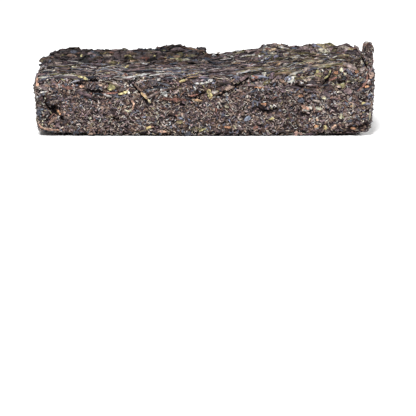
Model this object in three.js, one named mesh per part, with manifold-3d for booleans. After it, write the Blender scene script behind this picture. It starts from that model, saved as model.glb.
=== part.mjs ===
// A pressed brick of pu-erh tea, in millimetres, with +Z up.
// It lies on its pressed base, with the long front side towards -Y. The origin is under its middle.
// The brick is one solid: a pressed block that is thicker at its front right, a loose leaf layer over the
// back left of its top, a thin ridge squeezed up at its right end, and leaves and stems that stand out.

import * as THREE from 'three';
import { ImprovedNoise } from 'three/addons/math/ImprovedNoise.js';
import { mergeVertices } from 'three/addons/utils/BufferGeometryUtils.js';
import Module from 'manifold-3d';

// Block
const LENGTH = 140;
const DEPTH = 90;
const END_LEAN = 1.1;
const END_LIFT = 1.5;
const FLAT_SHARE = 0.15;
const EDGE_RADIUS = { plan: 2.8, top: 2, base: 1.6 };
const BLOCK_CELLS = { along: 36, across: 20, up: 6 };

// Height of the top along the front and the back edge, by the place along the brick
const FRONT_HEIGHTS = [[-70, 25], [2, 24.4], [20, 25.4], [36, 27.6], [66, 30]];
const BACK_HEIGHTS = [[-70, 24.2], [2, 24], [14, 25.8], [28, 28], [52, 29], [58, 27], [70, 26]];

// Unevenness, by the size of its lumps and how far they stand out. The shift sets each apart from the rest.
const WAVE = { size: 31, height: 0.7, shift: 3.3 };
const LUMP = { size: 7.5, height: 0.8, shift: 11.4 };
const CRUMB = { size: 3.1, height: 0.45, shift: 5.7 };
const LOOSE_LUMP = { size: 8, height: 1.6, shift: 17.6 };
const LOOSE_RAG = { size: 6, height: 2.8, shift: 2.3 };
const RIDGE_TEAR = { size: 5.2, height: 2.2, shift: 9.4 };
const RIDGE_LUMP = { size: 4.8, height: 1.1, shift: 26.7 };
const FLAKE_WAVE = { size: 8, height: 0.6, shift: 65.4 };
const DENT_RAG = { size: 1.3, height: 0.4, shift: 1.6 };
const PIT = { size: 6.5, height: 2.2, shift: 73.5 };
const PIT_DEPTH = 0.9;
const PIT_SILL = 0.35;
const FLAT_RADIUS = 12;

// Loose leaf layer, which ends in a broken step near the middle of the brick
const LOOSE_LAYER = { from: -66, to: 0.8, front: 2, back: 43.5, foot: 18, edgeRise: 0.5, backRise: 2.7 };
const LOOSE_CELLS = { along: 18, across: 9 };
const LOOSE_BURIED = 0.9;

// Ridge at the right end. Its height over the top falls from its crest to the back.
const RIDGE = { thickness: 4.3, foot: 19, crest: 9.2, crestAt: 9, frontRise: 7.2, backRise: -0.6, end: 58 };
const RIDGE_TAPER = { up: 0.3, back: 0.4 };
const RIDGE_CROWN = 1.6;
const RIDGE_FOOT_BURIED = 1.7;
const RIDGE_LEAN = 0.5;
const RIDGE_CELLS = { along: 14, across: 2, up: 4 };

// Flake of the top layer that laps over the front side, by the corners of its outline
const FRONT_FLAKE = [[-27, 21], [-22, 17.6], [-9, 19.1], [6, 16.8], [21, 24.9], [9, 23.8], [-25, 23.3]];
const FLAKE_THICKNESS = 3;
const FLAKE_PROUD = 0.75;
const FLAKE_BEVEL = 0.45;

// Dents: the place on the front side, the radius, and how deep each reaches
const FRONT_DENTS = [
  { along: -61.7, up: 11, radius: 4, depth: 1.9 },
  { along: -67.5, up: 1.5, radius: 5, depth: 2 },
  { along: 3, up: 11.5, radius: 3, depth: 0.9 },
  { along: 69, up: 2, radius: 4, depth: 1.5 },
];

// Leaves and stems that stand out. Length, width and thickness are each drawn between two sizes.
const TOP_LEAVES = { count: 46, length: [10, 21], width: [2.2, 4.4], thickness: [1.1, 2], lift: 0.3 };
const SIDE_FLAKES = { count: 26, length: [4, 9], width: [1.8, 3.6], thickness: [0.9, 1.5], lift: -0.35 };
const RIM_STRANDS = { count: 20, length: [5, 10], width: [1.3, 2.2], thickness: [1.1, 1.8], lift: -0.6 };
const LEAF_SLANT = 0.58;
const LEAF_ARCH = [0, 0.7];
const LEAF_CURVE = [-1.6, 1.6];
const LEAF_TWIST = [-0.9, 0.9];
const SHOWN_TWIST = 0.25;
const LEAF_SIDES = 4;
const LEAF_STEPS = 4;
const SPREAD_TRIES = 24;
const TOP_INSET = 9;
const SIDE_INSET = 7;
const SIDE_BAND = { low: 4.5, high: 19.5 };
const RIM_INSET = 2.4;
const LONG_SIDE_SHARE = 0.6;

// Leaves that show against the background, by the middle of each on the top
const SHOWN_LEAVES = [
  { x: 31, y: 37, turn: 6, length: 15, width: 4.2, thickness: 1.5, arch: 1.2, lift: 0.9 },
  { x: 45.5, y: 38, turn: -4, length: 17, width: 4.6, thickness: 1.7, arch: 1.6, lift: 1.3 },
  { x: 55, y: 34, turn: 5, length: 8.4, width: 3.6, thickness: 1.1, arch: 2.6, lift: 1.9 },
  { x: 63, y: 34, turn: -14, length: 11, width: 3.2, thickness: 1.3, arch: 1.8, lift: 0.7 },
  { x: -14.5, y: 39, turn: 3, length: 15, width: 4, thickness: 1.6, arch: 1.2, lift: 1 },
  { x: -37, y: 40, turn: -7, length: 12, width: 3.4, thickness: 1.3, arch: 0.8, lift: 0.4 },
];

const SEED = 20;

const COLOURS = { pressedTea: 0x4a3f3b };

const noise = new ImprovedNoise();
const wasm = await Module();
wasm.setup();

const { clamp, degToRad, lerp, smoothstep: smooth } = THREE.MathUtils;
const UP = new THREE.Vector3(0, 0, 1);

// The four sides, by the way each looks, how far out it stands and half its length
const SIDES = [
  { out: new THREE.Vector3(0, -1, 0), reach: DEPTH / 2, half: LENGTH / 2 },
  { out: new THREE.Vector3(0, 1, 0), reach: DEPTH / 2, half: LENGTH / 2 },
  { out: new THREE.Vector3(-1, 0, 0), reach: LENGTH / 2, half: DEPTH / 2 },
  { out: new THREE.Vector3(1, 0, 0), reach: LENGTH / 2, half: DEPTH / 2 },
];

// Repeatable random numbers from 0 to 1, by the mulberry32 rule.
function randomNumbers(seed) {
  let state = seed >>> 0;
  return () => {
    state = (state + 0x6d2b79f5) >>> 0;
    let mixed = Math.imul(state ^ (state >>> 15), state | 1);
    mixed ^= mixed + Math.imul(mixed ^ (mixed >>> 7), mixed | 61);
    return ((mixed ^ (mixed >>> 14)) >>> 0) / 4294967296;
  };
}

const random = randomNumbers(SEED);
const between = ([low, high]) => lerp(low, high, random());
const slant = () => between([-LEAF_SLANT, LEAF_SLANT]);

function uneven({ x, y, z = 0 }, { size, height, shift }) {
  return height * noise.noise(x / size + shift, y / size, z / size + shift);
}

// How far the pressed faces stand out at a place that is measured from the middle of the block.
function relief(point) {
  return uneven(point, WAVE) + uneven(point, LUMP) + uneven(point, CRUMB);
}

// Height at a place, eased between the listed heights on both sides of it.
function heightAt(x, heights) {
  const next = heights.findIndex(([place]) => place >= x);
  if (next < 1) return heights.at(next)[1];
  const [from, low] = heights[next - 1];
  const [to, high] = heights[next];
  return lerp(low, high, smooth(x, from, to));
}

function topHeight(x, y) {
  return lerp(heightAt(x, FRONT_HEIGHTS), heightAt(x, BACK_HEIGHTS), y / DEPTH + 0.5);
}

// The base is flat in the middle and bends up a little towards both ends.
function baseHeight(x) {
  return END_LIFT * smooth(Math.abs(x) / (LENGTH / 2), FLAT_SHARE, 1);
}

// Moves each corner of a geometry by a function, with shared corners merged so that it stays closed.
function shaped(geometry, move) {
  geometry.deleteAttribute('normal');
  geometry.deleteAttribute('uv');
  const merged = mergeVertices(geometry, 1e-4);
  const corners = merged.getAttribute('position');
  const point = new THREE.Vector3();
  for (let i = 0; i < corners.count; i += 1) {
    move(point.fromBufferAttribute(corners, i));
    corners.setXYZ(i, point.x, point.y, point.z);
  }
  return merged;
}

function solidOf(geometry) {
  return new wasm.Manifold(new wasm.Mesh({
    numProp: 3,
    vertProperties: new Float32Array(geometry.getAttribute('position').array),
    triVerts: new Uint32Array(geometry.index.array),
  }));
}

function geometryOf(solid) {
  const mesh = solid.getMesh();
  const geometry = new THREE.BufferGeometry();
  geometry.setAttribute('position', new THREE.BufferAttribute(mesh.vertProperties, 3));
  geometry.setIndex(new THREE.BufferAttribute(mesh.triVerts, 1));
  return geometry;
}

// Rounds the edges of a box-shaped point cloud and returns the way out of the surface at the point.
function roundEdges(point, halfHeight) {
  const radii = [EDGE_RADIUS.plan, EDGE_RADIUS.plan, point.z > 0 ? EDGE_RADIUS.top : EDGE_RADIUS.base];
  const halves = [LENGTH / 2, DEPTH / 2, halfHeight];
  const place = point.toArray();
  const inner = place.map((value, i) => clamp(value, radii[i] - halves[i], halves[i] - radii[i]));
  const out = new THREE.Vector3(...place.map((value, i) => (value - inner[i]) / radii[i])).normalize();
  point.set(...inner.map((value, i) => value + radii[i] * out.getComponent(i)));
  return out;
}

// Pits in the flat base, with none round its middle.
function basePit({ x, y }) {
  const away = smooth(Math.hypot(x, y), FLAT_RADIUS, 2 * FLAT_RADIUS);
  return PIT_DEPTH * away * clamp(uneven({ x, y }, PIT) - PIT_SILL, 0, 1);
}

function pressedBlock() {
  const { along, across, up } = BLOCK_CELLS;
  return shaped(new THREE.BoxGeometry(LENGTH, DEPTH, 1, along, across, up), (point) => {
    const bottom = baseHeight(point.x);
    const height = topHeight(point.x, point.y) - bottom;
    point.z *= height;
    const out = roundEdges(point, height / 2);
    const rise = relief(point);
    const lean = END_LEAN * (0.5 - point.z / height) ** 2;
    point.z += bottom + height / 2;
    point.x *= 1 - 2 * lean / LENGTH;
    point.x += out.x * Math.min(rise, 0);
    point.y += out.y * rise;
    point.z += Math.max(out.z, 0) * rise;
    if (out.z < -0.99) point.z = bottom + basePit(point);
  });
}

function looseRise(x, y) {
  const { from, to, front, back, edgeRise, backRise } = LOOSE_LAYER;
  const risen = smooth(y, front, back) * lerp(0.5, 1, smooth(x, from, lerp(from, to, 0.8)));
  return lerp(edgeRise, backRise, risen) + uneven({ x, y }, LOOSE_LUMP);
}

function looseLayer() {
  const { from, to, front, back, foot } = LOOSE_LAYER;
  const box = new THREE.BoxGeometry(to - from, back - front, 1, LOOSE_CELLS.along, LOOSE_CELLS.across, 1);
  box.translate((from + to) / 2, (front + back) / 2, 0);
  return shaped(box, (point) => {
    const inFront = point.y < front + 1;
    const atLeft = point.x < from + 1;
    const atEdge = inFront || atLeft || point.x > to - 1 || point.y > back - 1;
    const top = topHeight(point.x, point.y) + looseRise(point.x, point.y);
    const buried = inFront || atLeft ? LOOSE_BURIED : 0;
    point.z = point.z > 0 ? top - buried : foot;
    if (atEdge) {
      const { x, y } = point;
      point.x += uneven({ x, y }, LOOSE_RAG);
      point.y += uneven({ x: y, y: x }, LOOSE_RAG);
    }
  });
}

// Height of the ridge over the top at a distance behind the front side.
function ridgeRise(behind) {
  const { crest, crestAt, frontRise, backRise, end } = RIDGE;
  const rise = lerp(frontRise, crest, smooth(behind, 0, crestAt));
  const tears = uneven({ x: behind, y: crest }, RIDGE_TEAR);
  return lerp(rise + tears, backRise, smooth(behind, crestAt, end));
}

function endRidge() {
  const { thickness, foot, end } = RIDGE;
  const { along, across, up } = RIDGE_CELLS;
  const box = new THREE.BoxGeometry(1, 1, 1, across, along, up);
  return shaped(box, (point) => {
    const behind = (point.y + 0.5) * end;
    const share = point.z + 0.5;
    const top = topHeight(LENGTH / 2, behind - DEPTH / 2) + ridgeRise(behind);
    const backTaper = 1 - RIDGE_TAPER.back * smooth(behind, end / 2, end);
    const width = thickness * backTaper * (1 - RIDGE_TAPER.up * share * share);
    const lump = share * uneven({ x: behind, y: 20 * share, z: 10 * point.x }, RIDGE_LUMP);
    const crown = RIDGE_CROWN * share * (1 - 4 * point.x * point.x);
    const buried = RIDGE_FOOT_BURIED * (1 - share) ** 2;
    point.set(
      LENGTH / 2 - width / 2 - buried - RIDGE_LEAN * share ** 2 + point.x * width + lump,
      behind - DEPTH / 2 + buried + RIDGE_CROWN * share ** 2,
      lerp(foot, top - RIDGE_CROWN, share) + crown,
    );
  });
}

function frontFlake() {
  const outline = new THREE.Shape(FRONT_FLAKE.map(([along, up]) => new THREE.Vector2(along, up)));
  const plate = new THREE.ExtrudeGeometry(outline, {
    depth: FLAKE_THICKNESS - FLAKE_BEVEL,
    bevelThickness: FLAKE_BEVEL,
    bevelSize: FLAKE_BEVEL,
    bevelOffset: -FLAKE_BEVEL,
    bevelSegments: 1,
  });
  plate.rotateX(Math.PI / 2);
  plate.translate(0, FLAKE_THICKNESS - FLAKE_PROUD - DEPTH / 2, 0);
  return shaped(plate, (point) => {
    const { x, z } = point;
    point.y += uneven({ x, y: z }, FLAKE_WAVE);
  });
}

// A curled leaf or stem: a spindle that is bent up in the middle, with its ends down, and twisted.
function leaf({ length, width, thickness, arch = 0, curve = 0, twist = 0 }) {
  const spindle = new THREE.SphereGeometry(0.5, LEAF_SIDES, LEAF_STEPS);
  spindle.rotateZ(Math.PI / 2);
  return shaped(spindle, (point) => {
    const share = 2 * point.x;
    const turned = new THREE.Vector2(point.y * width, point.z * thickness);
    turned.rotateAround(new THREE.Vector2(), twist * share);
    point.x = share * length / 2;
    point.y = turned.x + curve * (share * share - 0.4);
    point.z = turned.y + arch * (0.7 - share * share);
  });
}

// Turns a geometry that lies flat so that its own +Z looks along out, and sets it at a place.
function setOn(geometry, place, out, turn) {
  const stand = new THREE.Quaternion().setFromUnitVectors(UP, out);
  const spin = new THREE.Quaternion().setFromAxisAngle(UP, turn);
  return geometry.applyQuaternion(stand.multiply(spin)).translate(...place.toArray());
}

function drawnLeaf(kind) {
  return leaf({
    length: between(kind.length),
    width: between(kind.width),
    thickness: between(kind.thickness),
    arch: between(LEAF_ARCH),
    curve: between(LEAF_CURVE),
    twist: between(LEAF_TWIST),
  });
}

// Of a few drawn places, takes the one furthest from those already taken, so that they spread evenly.
function spreadPlaces(count, draw) {
  const taken = [];
  while (taken.length < count) {
    const drawn = Array.from({ length: SPREAD_TRIES }, draw);
    const room = ({ place }) => Math.min(...taken.map((other) => other.place.distanceTo(place)), LENGTH);
    taken.push(drawn.reduce((best, next) => (room(next) > room(best) ? next : best)));
  }
  return taken;
}

function surfaceHeight(x, y) {
  const { from, to, front, back } = LOOSE_LAYER;
  const height = topHeight(x, y);
  const onLayer = x > from && x < to && y > front && y < back;
  const rise = relief(new THREE.Vector3(x, y, (height - baseHeight(x)) / 2));
  return height + Math.max(rise, onLayer ? looseRise(x, y) : rise);
}

function topLeaves() {
  const { count, lift } = TOP_LEAVES;
  const places = spreadPlaces(count, () => {
    const x = between([TOP_INSET - LENGTH / 2, LENGTH / 2 - TOP_INSET]);
    const y = between([TOP_INSET - DEPTH / 2, DEPTH / 2 - TOP_INSET]);
    return { place: new THREE.Vector3(x, y, surfaceHeight(x, y) + lift) };
  });
  return places.map(({ place }) => setOn(drawnLeaf(TOP_LEAVES), place, UP, slant()));
}

function sideFlakes() {
  const places = spreadPlaces(SIDE_FLAKES.count, () => {
    const pair = random() < LONG_SIDE_SHARE ? 0 : 2;
    const { out, reach, half } = SIDES[pair + Math.floor(2 * random())];
    const along = between([SIDE_INSET - half, half - SIDE_INSET]);
    const height = lerp(SIDE_BAND.low, SIDE_BAND.high, Math.sqrt(random()));
    const place = new THREE.Vector3(Math.abs(out.y) * along, Math.abs(out.x) * along, height);
    return { place: place.addScaledVector(out, reach + SIDE_FLAKES.lift), out };
  });
  return places.map(({ place, out }) => setOn(drawnLeaf(SIDE_FLAKES), place, out, between([0, Math.PI])));
}

// Torn strands along the rim of the top, which lie along the rim or slant out of it.
function rimStrands() {
  const { count, lift } = RIM_STRANDS;
  const x = LENGTH / 2 - RIM_INSET;
  const y = DEPTH / 2 - RIM_INSET;
  const places = spreadPlaces(count, () => {
    const onLongSide = random() < LONG_SIDE_SHARE;
    const place = onLongSide
      ? new THREE.Vector3(between([RIM_INSET - x, x - RIM_INSET]), random() < 0.5 ? y : -y, 0)
      : new THREE.Vector3(-x, between([RIM_INSET - y, y - RIM_INSET]), 0);
    place.z = surfaceHeight(place.x, place.y) + lift;
    return { place, turn: onLongSide ? 0 : Math.PI / 2 };
  });
  return places.map(({ place, turn }) => {
    const leaning = new THREE.Vector3(Math.sign(place.x), Math.sign(place.y), 5).normalize();
    return setOn(drawnLeaf(RIM_STRANDS), place, leaning, turn + slant());
  });
}

function shownLeaves() {
  return SHOWN_LEAVES.map(({ x, y, turn, lift, ...sizes }) => {
    const place = new THREE.Vector3(x, y, surfaceHeight(x, y) + lift);
    return setOn(leaf({ ...sizes, twist: SHOWN_TWIST }), place, UP, degToRad(turn));
  });
}

function frontDents() {
  return FRONT_DENTS.map(({ along, up, radius, depth }) => {
    const dent = new THREE.SphereGeometry(radius, 9, 6);
    dent.translate(along, depth - radius - DEPTH / 2, up);
    return shaped(dent, (point) => {
      point.z += uneven(point, DENT_RAG);
    });
  });
}

// Takes away what lies under the plane of the base.
function trimmed(solid) {
  const room = new THREE.BoxGeometry(2 * LENGTH, 2 * LENGTH, 2 * LENGTH);
  room.translate(0, 0, LENGTH);
  return solid.intersect(solidOf(shaped(room, () => {})));
}

// The largest body of a solid, without loose scraps and without hollows that have been closed in.
function largestBody(solid) {
  return solid.decompose().reduce((best, next) => (next.volume() > best.volume() ? next : best));
}

// Moves a geometry so that the origin is under the middle of its bounds.
function centred(geometry) {
  geometry.computeBoundingBox();
  const middle = geometry.boundingBox.getCenter(new THREE.Vector3());
  return geometry.translate(-middle.x, -middle.y, -geometry.boundingBox.min.z);
}

function teaBrick() {
  const layers = [looseLayer(), endRidge(), frontFlake()];
  const added = [...layers, ...shownLeaves(), ...topLeaves(), ...sideFlakes(), ...rimStrands()];
  const joined = added.reduce((whole, piece) => whole.add(solidOf(piece)), solidOf(pressedBlock()));
  const cut = frontDents().reduce((whole, dent) => whole.subtract(solidOf(dent)), joined);
  const mesh = new THREE.Mesh(
    centred(geometryOf(largestBody(trimmed(cut)))),
    new THREE.MeshStandardMaterial({ color: COLOURS.pressedTea, roughness: 0.8, metalness: 0 }),
  );
  mesh.name = 'tea_brick';
  return mesh;
}

const brick = new THREE.Group();
brick.add(teaBrick());

export default brick;
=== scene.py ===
"""Dresses the pressed brick of pu-erh tea with its leaves, strands, stems, flakes and crumbs."""

import math

import bpy
import numpy as np
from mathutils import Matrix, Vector, noise
from mathutils.bvhtree import BVHTree


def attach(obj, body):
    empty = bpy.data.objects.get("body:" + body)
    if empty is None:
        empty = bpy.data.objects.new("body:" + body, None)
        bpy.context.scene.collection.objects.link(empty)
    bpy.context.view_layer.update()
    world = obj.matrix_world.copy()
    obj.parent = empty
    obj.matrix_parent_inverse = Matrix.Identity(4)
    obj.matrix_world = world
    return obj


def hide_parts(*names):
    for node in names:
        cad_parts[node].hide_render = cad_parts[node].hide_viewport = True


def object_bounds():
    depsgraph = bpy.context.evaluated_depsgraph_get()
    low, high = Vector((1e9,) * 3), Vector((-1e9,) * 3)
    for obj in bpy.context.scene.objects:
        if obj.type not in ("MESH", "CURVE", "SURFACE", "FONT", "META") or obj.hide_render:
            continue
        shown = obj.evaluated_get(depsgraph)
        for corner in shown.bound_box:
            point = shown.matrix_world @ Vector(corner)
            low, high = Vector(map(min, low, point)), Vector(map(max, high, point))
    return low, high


bl_info = {
    "name": "Pressed tea brick",
    "version": (1, 0, 0),
    "blender": (4, 5, 0),
    "location": "3D View > Sidebar > Tea brick",
    "description": "Covers a pressed brick of tea with its leaves and crumbs, and sets it on a pale floor",
    "category": "Object",
}

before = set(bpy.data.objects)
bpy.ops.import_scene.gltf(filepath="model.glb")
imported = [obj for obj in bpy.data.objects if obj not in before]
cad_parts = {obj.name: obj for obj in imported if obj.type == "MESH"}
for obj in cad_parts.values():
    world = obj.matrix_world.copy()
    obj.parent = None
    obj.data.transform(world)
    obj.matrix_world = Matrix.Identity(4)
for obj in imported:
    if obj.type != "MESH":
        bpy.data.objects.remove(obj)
CAD_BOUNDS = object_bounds()

NODE = "tea_brick"
BODY = "root"
# A millimetre in metres. Places and sizes are worked out in millimetres, and finishes in metres.
MM = 0.001
# The map that holds the colours in the exported part.
MAP = "OFBake"

# The photographed view: the side of the picture in pixels, and the camera in millimetres and degrees.
PICTURE_SIDE = 416
VIEW_PLACE = (1.65, -1145.0, 149.33)
VIEW_PITCH = 9.245
VIEW_ANGLE = 8.84
SENSOR_WIDTH = 36.0

# Parts of the brick, and their limits in millimetres.
RIDGE = {"left": 61, "low": 28}
LOOSE_LAYER = {"right": 1, "front": 3}
LUMPS = {"left": 14, "front": 3}
BROKEN_END = {"left": 1.2, "right": 5, "front": 22, "low": 25.8}
GOLDEN_PART = {"left": 18, "right": 64, "low": 21.5}
# How much brighter the leaf is in parts of the brick, as a power of e.
BRIGHTER = (
    # Painted sheen: the front left of the top is lighter.
    ({"right": 0, "back": 0, "low": 22}, 0.35),
    ({"left": 20, "low": 24}, -0.15),
    ({"left": 20, "front": 22, "low": 24}, -0.4),
    ({"low": 22, **LOOSE_LAYER}, -1.1),
    (RIDGE, -0.3),
)

# Slits and hollows between the pressed layers: half width and depth in millimetres, and the places in the
# picture, in pixels, that each runs through.
# They are cut into the surface, and shade and black shadow lines are painted along them.
CREVICES = (
    (0.45, 2.2, (219, 96), (228, 91), (240, 83), (254, 74)),
    (0.42, 1.4, (45, 101), (47, 105), (50, 108), (54, 110)),
    (1.1, 1.8, (53, 108), (55, 110.5), (56.5, 112)),
    (0.42, 1.4, (55, 112), (50, 116), (45, 121)),
    (0.42, 1.2, (60, 116), (64, 120)),
    (0.8, 1.4, (39, 70), (45, 70), (51, 69)),
    (0.42, 1.0, (76, 83), (84, 84)),
    (0.42, 1.1, (87, 91), (97, 91), (104, 92)),
    (0.38, 0.8, (88, 81), (97, 80)),
    (0.42, 1.0, (43, 96), (46, 100)),
    (0.38, 1.2, (169, 79), (181, 79), (194, 77), (207, 74)),
    (0.38, 1.1, (184, 97), (196, 96), (206, 92)),
    (0.38, 1.0, (256, 106), (262, 110), (270, 111), (278, 108)),
    (0.38, 0.9, (179, 104), (187, 106)),
    (0.38, 1.0, (133, 85), (141, 94), (149, 105)),
    (0.42, 1.8, (332, 71), (328, 78), (322, 85)),
    (0.38, 0.9, (337, 82), (346, 82)),
    (0.42, 1.3, (362, 57), (364, 62), (367, 67)),
    (1.0, 1.4, (350, 129), (362, 128), (371, 125)),
    (0.38, 0.8, (296, 85), (304, 87)),
    (0.38, 0.8, (112, 117), (119, 120)),
    (0.4, 0.7, (168, 115), (176, 117)),
    (0.4, 0.7, (300, 112), (308, 115)),
)

# Stems and leaves that stand out in the photograph: colour, width in millimetres, and the places in the
# picture, in pixels, that each runs through.
SHOWN_PIECES = (
    ("peach", 1.3, (38, 78), (38, 82), (38.5, 87)),
    ("moss", 0.5, (40, 78), (47, 76), (58, 75), (73, 76), (81, 77)),
    ("straw", 1.0, (78, 77), (83, 78), (88, 80)),
    ("moss", 0.5, (58, 78), (65, 81)),
    ("cream", 0.9, (82, 67.5), (88, 68), (93, 68.5)),
    ("grey", 0.8, (103, 72), (113, 72), (123, 73.5)),
    ("moss", 0.5, (119.5, 62), (118, 64), (116.5, 65.5)),
    ("olive", 0.8, (123, 58), (127, 55), (132, 58), (134, 62)),
    ("straw", 1.2, (124, 69), (129, 65)),
    ("moss", 2.8, (106, 86), (111, 87), (116, 86)),
    ("russet", 1.5, (60, 86), (66, 87), (73, 89)),
    ("peach", 1.4, (79, 87), (84, 86)),
    ("russet", 0.7, (101, 94), (110, 93), (118, 92)),
    ("straw", 1.2, (118, 94), (123, 93), (128, 91)),
    ("orange", 1.0, (57, 109.5), (59, 112), (61, 115)),
    ("russet", 0.7, (54, 113), (51.5, 115.5), (49, 118.5)),
    ("brown", 1.0, (57.5, 116.5), (53, 120), (48.5, 124)),
    ("slate", 2.6, (38.5, 109), (39, 113), (38.5, 116)),
    ("peach", 0.9, (38, 122), (42, 128), (48, 129), (60, 130)),
    ("cream", 0.6, (43, 120), (42, 127)),
    ("cream", 0.9, (89, 119), (91.5, 117.5)),
    ("cream", 0.8, (60, 94), (61, 97)),
    ("cream", 0.8, (44.5, 97.5), (46, 99)),
    ("peach", 0.9, (130.5, 98), (134, 104), (132, 110)),
    ("cream", 0.6, (124.5, 110), (129, 111.5), (134, 107)),
    ("tan", 1.2, (133, 52.5), (137, 55), (148, 56)),
    ("straw", 0.9, (166.5, 57), (164, 59), (161, 60)),
    ("olive", 1.5, (160, 53), (159, 60)),
    ("moss", 1.2, (145, 64), (154, 64.5)),
    ("dark", 1.5, (170, 50.5), (178, 48.5), (187, 52), (191, 56), (188, 61)),
    ("silver", 0.7, (181, 55), (182.5, 58)),
    ("tan", 0.7, (186, 57), (188, 56)),
    ("plum", 1.2, (128, 72), (137, 70.5), (146, 69.5)),
    ("olive", 1.8, (231, 57), (236, 56), (241, 55.5)),
    ("tan", 0.9, (232, 64.5), (241, 64.5)),
    ("moss", 0.8, (236, 73), (247, 72.5)),
    ("cream", 0.9, (232, 61.5), (235, 61)),
    ("cream", 1.2, (181, 73.5), (184, 73)),
    ("straw", 0.9, (184.5, 77), (191.5, 76), (198, 74.5)),
    ("tan", 0.7, (187, 78.5), (199, 77.5)),
    ("straw", 1.0, (179, 82.5), (186, 80.5)),
    ("cream", 0.6, (193, 83.5), (201, 84), (211, 82)),
    ("straw", 1.2, (208, 89), (210, 93.5), (211, 99)),
    ("russet", 1.0, (190, 95.8), (194, 95.2), (198, 94)),
    ("russet", 1.6, (159, 101), (172, 99), (186, 101.5)),
    ("tan", 0.8, (192, 99.5), (203, 101)),
    ("plum", 1.2, (240, 81), (248, 76)),
    ("russet", 1.0, (252, 80), (257, 76.5)),
    ("taupe", 2.0, (223, 88), (229, 87.5), (235, 87)),
    ("olive", 1.6, (262, 84), (267, 82), (271, 79.5)),
    ("orange", 0.6, (254, 87), (265, 87.5)),
    ("silver", 1.5, (283.5, 57.5), (289, 57)),
    ("tan", 0.7, (273, 69), (276, 66), (280, 63)),
    ("orange", 1.4, (261, 103.5), (267, 104.5)),
    ("cream", 0.7, (270.5, 105), (272, 107.5)),
    ("brown", 0.8, (134, 83.5), (138, 88), (142, 92)),
    ("tan", 1.1, (141, 92.5), (144.5, 95.5), (148, 99)),
    ("cream", 0.9, (148, 99), (150.5, 103)),
    ("peach", 1.3, (159, 131), (167, 131.5)),
    ("olive", 1.5, (190, 128), (196, 129), (203, 128)),
    ("moss", 0.8, (199, 131), (206, 128)),
    ("orange", 1.1, (224, 126.5), (231, 127.5)),
    ("straw", 1.0, (269, 119), (274.5, 118.5)),
    ("cream", 0.7, (233.5, 125), (236, 128.5)),
    ("straw", 1.1, (146, 128), (151, 126.5)),
    ("russet", 1.0, (253, 128), (258, 126.5)),
    ("olive", 2.0, (319.5, 48), (324, 45.5), (329, 44.6), (336, 46)),
    ("moss", 1.0, (321, 47), (328, 46), (334, 46.5)),
    ("black", 2.0, (341, 48.5), (346, 46.3), (352, 48), (360, 53)),
    ("russet", 0.6, (343, 50), (349, 48.2), (356, 50)),
    ("slate", 1.6, (48, 62.5), (52, 60.5), (58, 61.5), (62, 65)),
    ("brown", 1.3, (64, 58), (70, 55.5), (77, 58), (80, 63)),
    ("dark", 1.4, (99, 64), (106, 59), (114, 56), (121, 58), (128, 66)),
    ("grey", 0.8, (108, 66), (114, 61), (120, 62), (124, 67)),
    ("silver", 0.7, (118, 55), (125, 53.5), (131, 56)),
    ("black", 1.5, (49, 56.5), (53, 52.8), (60, 52.5)),
    ("black", 1.6, (197, 50.5), (202, 49), (206.6, 49.4)),
    ("straw", 0.8, (81, 59), (82, 55)),
    ("plum", 1.2, (86, 57), (92, 54.5), (97, 58)),
    ("black", 1.4, (56.5, 54.5), (63, 52.8), (72, 53.5)),
    ("moss", 0.9, (155.5, 55.5), (153, 57), (151, 58.5)),
    ("straw", 0.9, (320, 66), (332, 66.5)),
    ("moss", 2.6, (314, 75), (322, 73)),
    ("moss", 0.8, (323.5, 79), (329, 75), (330.5, 69.5)),
    ("orange", 1.7, (334, 72), (338, 74)),
    ("cream", 1.1, (341, 68), (342.5, 72)),
    ("cream", 1.1, (343.5, 74), (346.5, 74)),
    ("grey", 1.5, (343, 64), (352, 67), (357, 70)),
    ("silver", 1.7, (362, 60), (362.5, 65)),
    ("orange", 1.7, (355, 73), (358.5, 70.5)),
    ("russet", 0.7, (329, 81), (337, 77)),
    ("russet", 0.7, (367, 73), (366.5, 81), (361, 88), (357, 91)),
    ("orange", 1.1, (364.5, 87), (369, 86.5)),
    ("moss", 1.6, (336, 86), (341, 85.5), (346, 86)),
    ("orange", 1.4, (298, 96.5), (303, 95)),
    ("slate", 2.0, (297, 101), (305, 100)),
    ("peach", 1.5, (301, 105.5), (306, 108), (310.5, 110)),
    ("cream", 1.3, (315.5, 108), (322.5, 109.5)),
    ("cream", 1.0, (341.5, 113.5), (341, 116), (340, 118.5)),
    ("straw", 0.9, (361.5, 104), (365.5, 103)),
    ("tan", 0.9, (350, 107), (353, 105)),
    ("orange", 1.1, (314, 127), (319, 125.5)),
    ("straw", 1.2, (325, 125), (326, 130)),
    ("peach", 1.2, (331, 129), (335.5, 124.5)),
    ("orange", 1.0, (350.5, 127.5), (355.5, 128.5)),
    ("cream", 0.6, (369.5, 112), (369, 120)),
    ("peach", 0.8, (317, 117.5), (317.5, 121)),
)


def linear(red, green, blue):
    """A display colour of 0 to 255 as linear values of 0 to 1."""
    return tuple(((part / 255 + 0.055) / 1.055) ** 2.4 for part in (red, green, blue))


def colour_setting(name, description, *display):
    return bpy.props.FloatVectorProperty(
        name=name, description=description, subtype="COLOR", size=3, min=0, max=1, default=linear(*display)
    )


def length_setting(name, description, default):
    return bpy.props.FloatProperty(name=name, description=description, default=default, unit="LENGTH")


class TeaSizes(bpy.types.PropertyGroup):
    """Sizes of the brick's surface and of the pieces on it."""

    grain: length_setting("Grain", "Cell size of the pressed surface", 0.00085)
    relief: length_setting("Relief", "Height of the pressed crumbs on the surface", 0.0006)
    crumb_gap: length_setting("Crumb gap", "Distance between crumbs on the sides", 0.00091)
    strand_gap: length_setting("Strand gap", "Distance between strands on top and base", 0.0024)
    flake_gap: length_setting("Flake gap", "Distance between broken flakes", 0.0034)
    stem_gap: length_setting("Stem gap", "Distance between stems", 0.0062)
    tip_gap: length_setting("Tip gap", "Distance between pale tips", 0.0042)


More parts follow.
